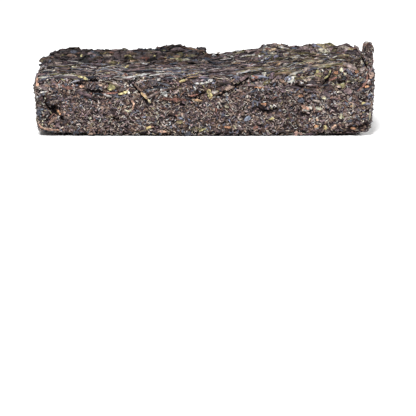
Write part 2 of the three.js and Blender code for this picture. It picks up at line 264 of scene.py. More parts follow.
class TeaColours(bpy.types.PropertyGroup):
    """Colours of the leaves, stems and crumbs."""

    # Black, much darkened, also makes the shadow lines painted along the slits.
    black: colour_setting("Black leaf", "Darkest leaf, in the hollows", 37, 31, 34)
    dark: colour_setting("Dark leaf", "Dark grey-brown leaf", 64, 53, 55)
    slate: colour_setting("Slate leaf", "Bluish dark leaf", 60, 62, 72)
    grey: colour_setting("Grey leaf", "Grey face of a pressed leaf", 96, 84, 81)
    silver: colour_setting("Silver leaf", "Pale grey leaf", 136, 127, 115)
    plum: colour_setting("Plum leaf", "Purple-brown leaf", 86, 70, 70)
    brown: colour_setting("Brown leaf", "Middle brown leaf", 92, 73, 63)
    taupe: colour_setting("Taupe leaf", "Light grey-brown edge of a leaf", 128, 109, 98)
    olive: colour_setting("Olive leaf", "Olive leaf face", 94, 86, 60)
    moss: colour_setting("Moss leaf", "Yellow-green leaf face", 120, 114, 80)
    russet: colour_setting("Russet stem", "Red-brown stem", 101, 69, 60)
    tan: colour_setting("Tan stem", "Tan stem or leaf back", 144, 117, 89)
    orange: colour_setting("Orange bud", "Orange-brown bud or stick", 152, 109, 82)
    peach: colour_setting("Peach flake", "Pinkish broken stem", 162, 126, 108)
    cream: colour_setting("Cream tip", "Cream tip or grain", 178, 162, 132)
    straw: colour_setting("Straw grain", "Yellow grain", 158, 137, 96)


class TeaStage(bpy.types.PropertyGroup):
    """Floor and light."""

    floor: colour_setting("Floor", "Colour of the pale floor", 246, 246, 246)
    ambient: bpy.props.FloatProperty(name="Ambient", description="Strength of the even light", default=0.32)
    key: bpy.props.FloatProperty(
        name="Key light", description="Power of the large front light", default=66.0, unit="POWER"
    )


# Finishes


class Wire:
    """A node's output that sums are written with."""

    def __init__(self, finish, socket):
        self.finish = finish
        self.socket = socket

    def _sum(self, operation, first, second):
        return self.finish.node("ShaderNodeMath", {"operation": operation}, {0: first, 1: second})

    def __add__(self, other):
        return self._sum("ADD", self, other)

    def __sub__(self, other):
        return self._sum("SUBTRACT", self, other)

    def __rsub__(self, other):
        return self._sum("SUBTRACT", other, self)

    def __mul__(self, other):
        return self._sum("MULTIPLY", self, other)

    def __pow__(self, other):
        return self._sum("POWER", self, other)

    __radd__ = __add__


class Finish:
    """A material that is built from nodes."""

    def __init__(self, name):
        self.material = bpy.data.materials.new(name)
        self.material.use_nodes = True
        self.tree = self.material.node_tree
        self.tree.nodes.clear()

    def node(self, kind, settings=None, sockets=None, out=0):
        node = self.tree.nodes.new(kind)
        for key, value in (settings or {}).items():
            if key == "stops":
                self.set_stops(node.color_ramp, value)
            else:
                setattr(node, key, value)
        for key, value in (sockets or {}).items():
            if isinstance(value, Wire):
                self.tree.links.new(value.socket, node.inputs[key])
            else:
                node.inputs[key].default_value = value
        return Wire(self, node.outputs[out]) if node.outputs else None

    @staticmethod
    def set_stops(ramp, stops):
        while len(ramp.elements) > 1:
            ramp.elements.remove(ramp.elements[-1])
        for number, (place, colour) in enumerate(stops):
            element = ramp.elements[0] if number == 0 else ramp.elements.new(place)
            element.position = place
            element.color = (*colour, 1.0)

    def mix(self, factor, first, second, how="MIX"):
        """A mix of two colours, which go in at sockets 6 and 7 of this node and come out at 2."""
        settings = {"data_type": "RGBA", "blend_type": how}
        return self.node("ShaderNodeMix", settings, {0: factor, 6: first, 7: second}, out=2)

    def shaded(self, colour, shade):
        """The colour times a brightness."""
        grey = self.node("ShaderNodeCombineColor", None, {0: shade, 1: shade, 2: shade})
        return self.mix(1.0, colour, grey, "MULTIPLY")

    def place(self):
        return self.node("ShaderNodeTexCoord", out="Object")

    def speckle(self, size, detail=2.0, rough=0.55, place=None):
        """Noise of 0 to 1 whose lumps are about size metres across."""
        sockets = {"Vector": place or self.place(), "Scale": 1 / size, "Detail": detail, "Roughness": rough}
        return self.node("ShaderNodeTexNoise", None, sockets)

    def reading(self, name, out="Fac"):
        """A value stored on the mesh, which comes out at Color or, if it is a number, at Fac."""
        return self.node("ShaderNodeAttribute", {"attribute_name": name}, out=out)

    def surface(self, colour, roughness, normal, sheen):
        shader = self.node(
            "ShaderNodeBsdfPrincipled",
            None,
            {"Base Color": colour, "Roughness": roughness, "Normal": normal, "Specular IOR Level": sheen},
        )
        self.node("ShaderNodeOutputMaterial", None, {"Surface": shader})
        return self.material

    def bump(self, height, depth, strength=1.0):
        return self.node("ShaderNodeBump", None, {"Height": height, "Distance": depth, "Strength": strength})


def pressed_surface():
    """The crushed leaf between the loose pieces, with shade painted into its hollows."""
    colours = bpy.context.scene.tea_colours
    finish = Finish("crushed_tea")
    place = finish.place()
    crumb, grit, lump = 0.0009, 0.0008, 0.0012
    sockets = {"Vector": place, "Scale": 1 / crumb, "Randomness": 1.0}
    cells = finish.node("ShaderNodeTexVoronoi", {"feature": "F1"}, sockets, out="Color")
    tone = finish.node("ShaderNodeSeparateColor", None, {"Color": cells})
    stops = [(0.0, colours.black), (0.5, colours.dark), (0.85, colours.brown), (0.97, colours.taupe)]
    base = finish.node("ShaderNodeValToRGB", {"stops": stops}, {"Fac": tone})
    fine = finish.speckle(grit, 3.0, place=place)
    # Painted shade: darker where the surface is pushed in, between the crumbs, in the crevices and along the
    # base.
    colour = finish.shaded(base, (fine * 2.0) ** 2.0 * (1.0 - finish.reading("hollow") * 0.8))
    height = fine * 0.6 + finish.speckle(lump, place=place)
    return finish.surface(colour, fine * 0.3 + 0.5, finish.bump(height, 0.0005, 0.8), sheen=0.05)


def leaf_finish(name, ribs=0.0, grain=0.0009, roughness=0.45, sheen=0.25, stretch=1.0, clean=0.47):
    """Dry leaf or stem in the tone that each piece carries, mottled with dark leaf and with ribs along it.

    The mottling is drawn out stretch times along the brick, and covers less where clean is higher.
    """
    mottle = 0.0017
    finish = Finish(name)
    place = finish.node("ShaderNodeMapping", None, {"Vector": finish.place(), "Scale": (1 / stretch, 1, 1)})
    fine = finish.speckle(grain, 2.0, 0.6, place)
    dust = finish.speckle(mottle, 3.0, 0.6, place)
    dark = (*bpy.context.scene.tea_colours.dark, 1.0)
    tone = finish.mix((dust - clean) * 5.0, finish.reading("tone", "Color"), dark, "DARKEN")
    shade = (fine * 2.0) ** 2.2
    height = fine
    if ribs:
        wave = finish.node("ShaderNodeMath", {"operation": "SINE"}, {0: finish.reading("across") * ribs})
        shade = shade * (1.0 + wave * 0.2)
        height = height * 0.5 + wave * 0.5
    colour = finish.shaded(tone, shade)
    return finish.surface(colour, fine * 0.35 + roughness, finish.bump(height, grain * 0.4, 0.8), sheen)


# The brick's skin


def stored(items, name, width=1, kind=np.float32):
    """A value that each of a mesh's items has, as one number or as a row of width numbers."""
    values = np.empty(len(items) * width, kind)
    items.foreach_get(name, values)
    return values.reshape(-1, width) if width > 1 else values


def set_value(mesh, name, kind, domain, values):
    """Stores a number or a colour for each point or corner of a mesh."""
    attribute = mesh.attributes.new(name, kind, domain)
    part = "color" if kind == "FLOAT_COLOR" else "value"
    attribute.data.foreach_set(part, values.astype(np.float32).ravel())


def set_map(mesh, places):
    """Gives a mesh the map that its colours are kept on in the exported part."""
    layer = mesh.uv_layers.new(name=MAP, do_init=False)
    layer.uv.foreach_set("vector", places.astype(np.float32).ravel())


def unit(vectors):
    return vectors / np.maximum(np.linalg.norm(vectors, axis=-1, keepdims=True), 1e-9)


def picture_line(picture_places, count=0, step=0.5):
    """Even places along a line in the picture: count of them, or one for each step in pixels."""
    places = np.array(picture_places, float)
    reach = np.concatenate([[0], np.cumsum(np.linalg.norm(np.diff(places, axis=0), axis=1))])
    at = np.linspace(0, reach[-1], count or max(2, int(reach[-1] / step)))
    return np.stack([np.interp(at, reach, places[:, i]) for i in range(2)], axis=-1)


class Skin:
    """The brick's smooth outer surface, in millimetres, for setting pieces on it."""

    # Places that are tried for each one that is kept.
    TRIES = 2.6
    # More cells than any side has, to number the cells with.
    MANY = 4099

    def __init__(self, mesh):
        self.spots = stored(mesh.vertices, "co", 3).astype(float) / MM
        mesh.calc_loop_triangles()
        self.triangles = stored(mesh.loop_triangles, "vertices", 3, np.int32)
        self.tree = BVHTree.FromPolygons(self.spots.tolist(), self.triangles.tolist())
        first, second, third = (self.spots[self.triangles[:, i]] for i in range(3))
        across = np.cross(second - first, third - first)
        self.areas = np.linalg.norm(across, axis=1) / 2
        ways = np.zeros_like(self.spots)
        for i in range(3):
            np.add.at(ways, self.triangles[:, i], across)
        self.ways = self.smoothed(ways)
        self.crevices = [(self.line(places)[0], wide, deep) for wide, deep, *places in CREVICES]

    def smoothed(self, ways, rounds=6):
        """Surface directions, evened out over their neighbours."""
        ways = unit(ways)
        for _ in range(rounds):
            total = ways.copy()
            for i in range(3):
                for j in range(3):
                    if i != j:
                        np.add.at(total, self.triangles[:, i], ways[self.triangles[:, j]])
            ways = unit(total)
        return ways

    def spread(self, rng, gap, chance):
        """Places about gap millimetres apart, with the way out of the surface at each."""
        count = int(self.areas.sum() / gap ** 2 * self.TRIES)
        chosen = rng.choice(len(self.areas), count, p=self.areas / self.areas.sum())
        one, two = np.sqrt(rng.uniform(0, 1, count)), rng.uniform(0, 1, count)
        weights = np.stack([1 - one, one * (1 - two), one * two], axis=-1)[:, :, None]
        corners = self.triangles[chosen]
        places = (self.spots[corners] * weights).sum(axis=1)
        ways = unit((self.ways[corners] * weights).sum(axis=1))
        cells = np.floor(places / gap).astype(np.int64)
        keys = (cells[:, 0] * self.MANY + cells[:, 1]) * self.MANY + cells[:, 2]
        _, first = np.unique(keys, return_index=True)
        first.sort()
        places, ways = places[first], ways[first]
        keep = rng.uniform(0, 1, len(places)) < chance(places, ways)
        return places[keep], ways[keep]

    def rest(self, places):
        """The nearest spots of the surface, and the ways out there."""
        spots, ways = np.empty_like(places), np.empty_like(places)
        for number, place in enumerate(places):
            spot, _, triangle, _ = self.tree.find_nearest(Vector(place))
            spots[number] = spot
            ways[number] = self.ways[self.triangles[triangle]].sum(axis=0)
        return spots, unit(ways)

    def ray(self, across, down):
        """The direction of the photographed view through a place in the picture."""
        half = math.tan(math.radians(VIEW_ANGLE) / 2)
        right, up = (across / PICTURE_SIDE * 2 - 1) * half, (1 - down / PICTURE_SIDE * 2) * half
        pitch = math.radians(VIEW_PITCH)
        forward = np.array([0, math.cos(pitch), -math.sin(pitch)])
        upward = np.array([0, math.sin(pitch), math.cos(pitch)])
        return unit(forward + upward * up + np.array([right, 0, 0]))

    def seen(self, across, down):
        """Where the photographed view meets the brick at a place in the picture, or None beside it."""
        return self.tree.ray_cast(Vector(VIEW_PLACE), Vector(self.ray(across, down)))[0]

    def line(self, picture_places, step=0.5):
        """Spots along the surface under a line in the picture, and whether all of it meets the brick."""
        places = picture_line(picture_places, step=step)
        spots = [tuple(spot) for spot in (self.seen(*place) for place in places) if spot is not None]
        if len(spots) < 2:
            raise RuntimeError(f"the line from {picture_places[0]} misses the brick")
        return np.array(spots), len(spots) == len(places)

    def hollow(self, places, extra=0.0):
        """How deep the crevices are at each place, in millimetres, if they were extra wider on both sides."""
        deepest = np.zeros(len(places))
        for line, wide, deep in self.crevices:
            wide = wide + extra
            low, high = line.min(axis=0) - wide, line.max(axis=0) + wide
            near = np.nonzero(((places > low) & (places < high)).all(axis=1))[0]
            if near.size:
                gap = np.linalg.norm(places[near][:, None] - line[None], axis=2).min(axis=1) / wide
                deepest[near] = np.maximum(deepest[near], deep * np.clip(1 - gap ** 2, 0, 1) ** 0.5)
        return deepest


skin_of_brick = []


def skin():
    if not skin_of_brick:
        raise RuntimeError("the pressed surface is made first")
    return skin_of_brick[0]


def clear_of_slits(paths, shallow=0.3):
    """Which paths stay out of the crevices, but for their shallow edges."""
    return skin().hollow(paths.reshape(-1, 3)).reshape(paths.shape[:2]).max(axis=1) < shallow


def within(places, left=-math.inf, right=math.inf, front=-math.inf, back=math.inf, low=-math.inf):
    """Which places lie between these limits."""
    x, y, z = np.moveaxis(places, -1, 0)
    return (x > left) & (x < right) & (y > front) & (y < back) & (z > low)


def height_share(places, low, high):
    """How far up each place is, from 0 at the low height to 1 at the high one."""
    return (places[:, 2] - low) / (high - low)


def facing(ways, axis):
    """How far each way looks along an axis such as +z or -y, from 0 to 1."""
    sign = -1 if axis[0] == "-" else 1
    return np.clip(sign * ways[:, "xyz".index(axis[1])], 0, 1)


def on_ridge(places):
    """1 on the ridge at the right end, 0 elsewhere."""
    return within(places, **RIDGE).astype(float)


def heading(rng, ways, spread):
    """Directions in the surface that run along the brick, turned by up to spread radians."""
    flat = np.array([1.0, 0, 0]) - ways * ways[:, :1]
    # The ends of the brick face that way, so they take another.
    short = np.linalg.norm(flat, axis=1) < 0.2
    flat[short] = np.cross(ways[short], np.array([0.3, 1.0, 0.2]))
    flat = unit(flat)
    side = np.cross(ways, flat)
    angle = rng.uniform(-spread, spread, (len(ways), 1))
    return flat * np.cos(angle) + side * np.sin(angle)


def straight_paths(rng, places, ways, along, length, rings, curve):
    """Short bent lines through the places."""
    share = np.linspace(-1, 1, rings)[None, :, None]
    side = np.cross(ways, along)
    reach = length[:, None, None] / 2
    arch = (share ** 2 - 0.4) * reach
    bend = curve * rng.normal(0, 1, (len(places), 1, 1)) * arch
    rise = -0.5 * curve * rng.normal(0, 1, (len(places), 1, 1)) * arch
    paths = places[:, None] + along[:, None] * share * reach + side[:, None] * bend + ways[:, None] * rise
    return paths, np.broadcast_to(ways[:, None], paths.shape)


def laid_paths(rng, places, ways, along, length, rings, curve):
    """Lines that follow the surface from the places, half of their length each way."""
    halves = []
    turn = curve * rng.normal(0, 1, (len(places), 1))
    for sign in (1, -1):
        spots, outs, heads = places.copy(), ways.copy(), along * sign
        half = [(spots, outs)]
        for _ in range(rings // 2):
            ahead = spots + heads * (length / (rings - 1))[:, None]
            spots, outs = skin().rest(ahead)
            bent = turn * sign + 0.4 * curve * rng.normal(0, 1, (len(places), 1))
            heads = unit(heads - outs * (heads * outs).sum(axis=1, keepdims=True))
            heads = unit(heads + np.cross(outs, heads) * bent)
            half.append((spots, outs))
        halves.append(half)
    spots, outs = zip(*halves[1][::-1], *halves[0][1:])
    return np.stack(spots, axis=1), np.stack(outs, axis=1)


# Shapes


class Pattern:
    """The faces that every copy of a kind has, and where each face corner lies on the copy's own map."""

    def __init__(self, faces, places):
        self.loops = np.concatenate([np.array(face) for face in faces])
        self.totals = np.array([len(face) for face in faces])
        self.places = np.array([place for face in places for place in face])


def rod_pattern(rings, sides):
    faces, places = [], []
    for ring in range(rings - 1):
        for side in range(sides):
            here, beside = ring * sides + side, ring * sides + (side + 1) % sides
            faces.append((here, beside, beside + sides, here + sides))
            near, far = ring / (rings - 1), (ring + 1) / (rings - 1)
            low, high = side / sides, (side + 1) / sides
            places.append(((near, low), (near, high), (far, high), (far, low)))
    # The two end faces lie on the map as ovals, before and after the rod.
    turn, wide, high, beside = 2 * math.pi / sides, 0.04, 0.2, 0.07
    ends = ((range(sides - 1, -1, -1), 0, -beside), (range(sides), (rings - 1) * sides, 1 + beside))
    for order, first, middle in ends:
        faces.append(tuple(first + side for side in order))
        oval = [(wide * math.cos(side * turn), high * math.sin(side * turn)) for side in order]
        places.append(tuple((middle + x, 0.5 + y) for x, y in oval))
    return Pattern(faces, places)


def rods(rng, paths, ways, width, thick, sides, crease, twist, taper, wobble=0.2):
    """Creased and twisted rods along the paths."""
    count, rings = paths.shape[:2]
    along = unit(np.gradient(paths, axis=1))
    side = unit(np.cross(ways, along))[:, :, None]
    up = np.cross(along, side[:, :, 0])[:, :, None]
    share = np.linspace(-1, 1, rings)[None, :, None]
    angle = (np.arange(sides) * 2 * math.pi / sides)[None, None, :]
    turn = twist * rng.uniform(-1, 1, (count, 1, 1)) * share
    radius = (
        (1 + crease * rng.uniform(-1, 1, (count, 1, sides)))
        * (1 + wobble * rng.uniform(-1, 1, (count, rings, 1)))
        * (1 - taper * np.abs(share) ** rng.uniform(2, 6, (count, 1, 1)))
    )
    flat = np.cos(angle) * width[:, None, None] / 2 * radius
    high = np.sin(angle) * thick[:, None, None] / 2 * radius
    across = (flat * np.cos(turn) - high * np.sin(turn))[..., None]
    above = (flat * np.sin(turn) + high * np.cos(turn))[..., None]
    corners = paths[:, :, None] + side * across + up * above
    return corners.reshape(count, rings * sides, 3)


def streaked(rng, tones, rings, sides, along, across, edges=0.0):
    """A colour for each corner of each rod, in streaks along it and with a highlight painted at its two edges.
    """
    count = len(tones)
    bright = across * rng.normal(0, 1, (count, 1, sides)) + along * rng.normal(0, 1, (count, rings, 1))
    # Painted highlight along the rod's two edges.
    bright = bright + edges * np.cos(np.arange(sides) * 2 * math.pi / sides) ** 4
    return (tones[:, None] * np.exp(bright).reshape(count, rings * sides, 1)).clip(DARKEST_ROD, BRIGHTEST)


def sheet_pattern(along_cells, across_cells):
    row = across_cells + 1
    spots = (along_cells + 1) * row
    # The share of the map's width that each side of the sheet takes, and the strip that its rim takes.
    part, inner, outer = 0.47, -0.03, -0.1
    faces, places = [], []
    for i in range(along_cells):
        for j in range(across_cells):
            spot = i * row + j
            left, right = i / along_cells, (i + 1) / along_cells
            low, high = j / across_cells, (j + 1) / across_cells
            around = ((left, low), (right, low), (right, high), (left, high))
            faces.append((spot, spot + row, spot + row + 1, spot + 1))
            places.append(tuple((x * part, y) for x, y in around))
            below = spot + spots
            faces.append((below, below + 1, below + row + 1, below + row))
            places.append(tuple((1 - part + x * part, y) for x, y in (around[0], *around[:0:-1])))
    rim = [i * row for i in range(along_cells)]
    rim += [along_cells * row + j for j in range(across_cells)]
    rim += [(along_cells - i) * row + across_cells for i in range(along_cells)]
    rim += [across_cells - j for j in range(across_cells)]
    for number, (here, after) in enumerate(zip(rim, rim[1:] + rim[:1])):
        near, far = number / len(rim), (number + 1) / len(rim)
        faces.append((here, here + spots, after + spots, after))
        places.append(((near, inner), (near, outer), (far, outer), (far, inner)))
    return Pattern(faces, places)


def sheets(rng, places, ways, along, cells, length, width, thick, lift, curl, crinkle, laid, ragged=0.25):
    """Thin closed flakes with ragged outlines, lifted edges, a paler vein and a highlight painted at the rim,
    laid on the surface or free of it.
    """
    count = len(places)
    # How round and how narrow the ends are, how far the shape leans, and how high it rises in millimetres.
    rounding, narrowing, leaning, highest = 0.26, 0.35, 0.25, 0.9
    u, v = np.meshgrid(np.linspace(-1, 1, cells[0] + 1), np.linspace(-1, 1, cells[1] + 1), indexing="ij")
    u, v = u.ravel()[None, :], v.ravel()[None, :]
    spots = u.shape[1]
    edge = (np.maximum(np.abs(u), np.abs(v)) > 0.99).astype(float)
    rag = 1 - ragged * rng.uniform(0, 1, (count, spots)) * edge
    corner = 1 - rounding * (np.abs(u) * np.abs(v)) ** 2
    shift = leaning * rng.normal(0, 1, (count, 1))
    x = (u * rag * corner + shift * v * 0.4) * length[:, None] / 2
    y = v * rag * corner * (1 - narrowing * np.abs(u + 0.3 * shift) ** 2) * width[:, None] / 2
    side = np.cross(ways, along)
    ahead = places[:, None] + along[:, None] * x[..., None] + side[:, None] * y[..., None]
    if laid:
        spots_down, outs = skin().rest(ahead.reshape(-1, 3))
        spots_down, outs = spots_down.reshape(count, spots, 3), outs.reshape(count, spots, 3)
    else:
        spots_down, outs = ahead, np.broadcast_to(ways[:, None], ahead.shape)
    raised = np.abs(curl * rng.normal(0, 1, (count, 1))) * (width[:, None] / 2) * v ** 2
    raised = raised + 0.4 * np.abs(curl * rng.normal(0, 1, (count, 1))) * (length[:, None] / 2) * u ** 2
    dents = crinkle * rng.normal(0, 1, (count, spots)) * np.minimum(width, 2.5)[:, None] / 2
    raised = np.minimum(raised, highest) + dents + lift[:, None]
    half = thick[:, None, None] / 2
    upper = spots_down + outs * (raised[..., None] + half)
    lower = spots_down + outs * (raised[..., None] - half)
    # A paler vein down the middle, and a painted highlight along the rim.
    vein_and_edge_highlight = (v == 0) * 0.2 + edge * 0.3
    bright = np.exp(vein_and_edge_highlight + 0.16 * rng.normal(0, 1, (count, spots)))[..., None]
    return np.concatenate([upper, lower], axis=1), np.concatenate([bright, bright], axis=1)


# Pieces


# How near to the floor a leaf comes, in millimetres.
LOWEST = 0.02
# The darkest that a rod and a flake get, and the palest that either gets, as linear values.
DARKEST_ROD, DARKEST_FLAKE, BRIGHTEST = 0.001, 0.003, 0.26
# Leaf that is brighter than DULL takes a worn cast, which is given as shares of its brightness.
DULL = 0.06
WORN = (1.13, 1.0, 0.86)
# The colours of the leaf on the golden part of the top.
GOLDEN = ("moss", "straw", "tan", "cream", "silver", "orange", "olive", "olive", "olive", "tan", "brown")


def drawn_tones(rng, places, mixture, vary=0.34, gold=0.2):
    """A colour for each piece from a mixture of the named colours.

    It varies in clumps and with the part of the brick, and has shade painted in the slits. On the right of the
    top a share of it, gold, takes the golden colours.
    """
    colours = bpy.context.scene.tea_colours
    names = list(mixture)
    weights = np.array([mixture[name] for name in names], float)
    table = np.array([getattr(colours, name)[:] for name in names])
    tones = table[rng.choice(len(names), len(places), p=weights / weights.sum())]
    golden = within(places, **GOLDEN_PART)
    golden &= rng.uniform(0, 1, len(places)) < gold
    warm = np.array([getattr(colours, name)[:] for name in GOLDEN])
    tones[golden] = warm[rng.choice(len(GOLDEN), golden.sum())]
    wide, narrow = 6, 2.3
    clumps = [noise.noise(Vector(spot) / wide) + 0.6 * noise.noise(Vector(spot) / narrow) for spot in places]
    bright = (vary + 0.25 * on_ridge(places)) * rng.normal(0, 1, len(places)) + 0.15 * np.array(clumps)
    for part, more in BRIGHTER:
        bright += more * within(places, **part)
    # Painted shade in the slits.
    bright -= 0.9 * skin().hollow(places, 0.1)
    hue = np.exp(0.03 * rng.normal(0, 1, (len(places), 3)))
    tones = tones * np.exp(bright)[:, None] * hue
    level = tones.mean(axis=1, keepdims=True)
    worn = np.clip((level - DULL) * 6, 0, 0.65)
    return tones * (1 - worn) + level * np.array(WORN) * worn


def joined_piece(name, pattern, corners, tones, material, smooth=False):
    """One mesh of all the copies, each with its colours and its own cell of the map."""
    # What hangs over the broken end of the loose layer is left out.
    keep = ~within(corners, **BROKEN_END).any(axis=1)
    corners, tones = corners[keep], tones[keep]
    count, per_copy = corners.shape[:2]
    corners[:, :, 2] = np.maximum(corners[:, :, 2], LOWEST)
    loops, totals = pattern.loops, pattern.totals
    starts = np.concatenate([[0], np.cumsum(totals)[:-1]])
    all_loops = (loops[None, :] + np.arange(count)[:, None] * per_copy).ravel().astype(np.int32)
    all_starts = (starts[None, :] + np.arange(count)[:, None] * len(loops)).ravel().astype(np.int32)
    mesh = bpy.data.meshes.new(name)
    mesh.vertices.add(count * per_copy)
    mesh.vertices.foreach_set("co", (corners * MM).astype(np.float32).ravel())
    mesh.loops.add(len(all_loops))
    mesh.loops.foreach_set("vertex_index", all_loops)
    mesh.polygons.add(len(all_starts))
    mesh.polygons.foreach_set("loop_start", all_starts)
    mesh.polygons.foreach_set("use_smooth", np.full(len(all_starts), smooth))
    mesh.update(calc_edges=True)
    opaque = np.ones((count, per_copy, 1))
    set_value(mesh, "tone", "FLOAT_COLOR", "POINT", np.concatenate([tones, opaque], axis=2))
    set_value(mesh, "across", "FLOAT", "CORNER", np.tile(pattern.places[:, 1], count))
    side = math.ceil(math.sqrt(count))
    cell = np.stack([np.arange(count) % side, np.arange(count) // side], axis=-1)[:, None, :]
    inset, filled = 0.15, 0.7
    set_map(mesh, (cell + inset + filled * pattern.places[None]) / side)
    mesh.materials.append(material)
    return finished_piece(name, mesh)


def finished_piece(name, mesh):
    piece = bpy.data.objects.new(name, mesh)
    bpy.context.scene.collection.objects.link(piece)
    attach(piece, BODY)
    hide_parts(NODE)
    return piece


class TEA_OT_surface(bpy.types.Operator):
    """Makes the pressed surface of crushed leaf that carries the loose pieces"""

    bl_idname = "tea.surface"
    bl_label = "Pressed surface"

    # Sizes of the lumps in the surface, and the height up to which shade is painted at the base, all in
    # millimetres.
    CRUMB, CLUMP, GRIT = 1.7, 4.3, 0.9
    BASE = 1.5
    # Each side of the block, with the axes that lie in it and its lower left corner on the map. Sides are
    # numbered by the axis that they look along, two for each. The places and the map's side are in metres.
    LAYOUT = {
        5: (0, 1, 0.000, 0.000),
        4: (0, 1, 0.000, 0.096),
        1: (1, 2, 0.148, 0.000),
        0: (1, 2, 0.148, 0.042),
        2: (0, 2, 0.000, 0.192),
        3: (0, 2, 0.000, 0.234),
    }
    MAP_SIDE, MAP_RIM = 0.28, 0.005

    def execute(self, context):
        sizes = context.scene.tea_sizes
        rough = bpy.data.objects.new("rough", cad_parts[NODE].data.copy())
        context.scene.collection.objects.link(rough)
        remesh = rough.modifiers.new("grain", "REMESH")
        remesh.mode = "VOXEL"
        remesh.voxel_size = sizes.grain
        context.view_layer.update()
        mesh = bpy.data.meshes.new_from_object(rough.evaluated_get(context.evaluated_depsgraph_get()))
        bpy.data.objects.remove(rough)
        mesh.name = "pressed_surface"
        skin_of_brick.append(Skin(mesh))
        self.crush(mesh, sizes.relief / MM)
        self.unwrap(mesh)
        mesh.materials.clear()
        mesh.materials.append(pressed_surface())
        mesh.polygons.foreach_set("use_smooth", np.full(len(mesh.polygons), True))
        finished_piece("pressed_surface", mesh)
        return {"FINISHED"}

    def crush(self, mesh, relief):
        """Pushes the surface in between the crumbs, and stores how hollow each spot is as painted shade, with
        the band along the base shaded too.
        """
        spots, ways = skin().spots, skin().ways
        hollow = np.empty(len(spots))
        for number, spot in enumerate(spots):
            edge = noise.voronoi(Vector(spot) / self.CRUMB)[0][0]
            clump = noise.noise(Vector(spot) / self.CLUMP)
            fine = noise.noise(Vector(spot) / self.GRIT + Vector((7, 3, 1)))
            hollow[number] = 0.9 * (edge - 0.35) - 0.45 * clump - 0.35 * fine
        crevice = skin().hollow(spots)
        moved = spots - ways * (relief * (hollow + 0.75) + crevice)[:, None]
        moved[:, 2] = np.maximum(moved[:, 2], 0.0)
        mesh.vertices.foreach_set("co", (moved * MM).astype(np.float32).ravel())
        # Painted shade: the hollows, the crevices and the band along the floor are stored as one darkening.
        base = 0.6 * (spots[:, 2] < self.BASE)
        set_value(mesh, "hollow", "FLOAT", "POINT", np.clip(hollow + 0.4 + crevice + base, 0, 1))
        mesh.update()

    def unwrap(self, mesh):
        """Lays the faces out by the side of the brick that they look to."""
        ways = stored(mesh.polygons, "normal", 3)
        totals = stored(mesh.polygons, "loop_total", kind=np.int32)
        loops = stored(mesh.loops, "vertex_index", kind=np.int32)
        spots = stored(mesh.vertices, "co", 3)[loops] - np.array(CAD_BOUNDS[0])
        axis = np.argmax(np.abs(ways), axis=1)
        outward = np.take_along_axis(ways, axis[:, None], axis=1)[:, 0] > 0
        side_of_corner = np.repeat(axis * 2 + outward, totals)
        flat = np.zeros((len(loops), 2), np.float32)
        for number, (first, second, left, bottom) in self.LAYOUT.items():
            mine = side_of_corner == number
            flat[mine] = spots[mine][:, [first, second]] + np.array([left, bottom])
        set_map(mesh, flat / self.MAP_SIDE + self.MAP_RIM)


class TEA_OT_crumbs(bpy.types.Operator):
    """Presses small crumbs and curls into all sides of the brick"""

    bl_idname = "tea.crumbs"
    bl_label = "Crumbs"

    # For each kind: seed, share, rings and sides, widths, lengths per width, thicknesses, and mixture.
    KINDS = {
        "dark_crumbs": (
            11, 0.25, (3, 4), (0.6, 1.15), (1.1, 2.2), (0.3, 0.55),
            {"black": 3, "dark": 5, "slate": 2.5, "plum": 2, "grey": 1, "brown": 1.5},
        ),
        "brown_crumbs": (
            12, 0.25, (3, 4), (0.45, 0.9), (1.2, 2.8), (0.25, 0.5),
            {
                "dark": 2, "brown": 3, "grey": 4, "taupe": 1.6, "russet": 1, "olive": 0.9, "plum": 1.5,
                "slate": 1.5,
            },
        ),
        "dark_curls": (
            13, 0.27, (3, 3), (0.25, 0.5), (2.5, 5.5), (0.25, 0.4),
            {"dark": 4, "grey": 4, "plum": 2, "brown": 2, "black": 2, "slate": 2, "russet": 0.8},
        ),
        # Thin pale curls, partly pale leaf and partly painted highlights on the edges of curled leaf.
        "light_curls": (
            14, 0.27, (4, 3), (0.22, 0.42), (3, 6), (0.2, 0.35),
            {
                "taupe": 6, "silver": 3.5, "grey": 3.5, "tan": 1.8, "moss": 0.5, "cream": 0.8, "peach": 0.3,
                "straw": 0.4,
            },
        ),
    }

    def execute(self, context):
        gap = context.scene.tea_sizes.crumb_gap / MM
        finish = leaf_finish("crumb", grain=0.0008, clean=0.58)
        for name, (seed, share, shape, widths, lengths, thicks, mixture) in self.KINDS.items():

            def chance(spots, out):
                return share * (1 - 0.6 * facing(out, "+z") - 0.7 * facing(out, "-z"))

            rng = np.random.default_rng(seed)
            places, ways = skin().spread(rng, gap, chance)
            count = len(places)
            width = rng.uniform(*widths, count)
            length = width * rng.uniform(*lengths, count)
            thick = rng.uniform(*thicks, count)
            lean = unit(ways + 0.3 * rng.normal(0, 1, (count, 3)))
            along = heading(rng, lean, 1.3)
            middles = places + ways * (rng.uniform(-0.3, 0.3, count) - 0.35 * on_ridge(places))[:, None]
            paths, outs = straight_paths(rng, middles, lean, along, length, shape[0], curve=0.5)
            tones = drawn_tones(rng, places, mixture)
            clear = clear_of_slits(paths)
            parts = (part[clear] for part in (paths, outs, width, thick))
            corners = rods(rng, *parts, shape[1], crease=0.3, twist=0.6, taper=0.55)
            tones = streaked(rng, tones[clear], *shape, along=0.2, across=0.3)
            joined_piece(name, rod_pattern(*shape), corners, tones, finish)
        return {"FINISHED"}


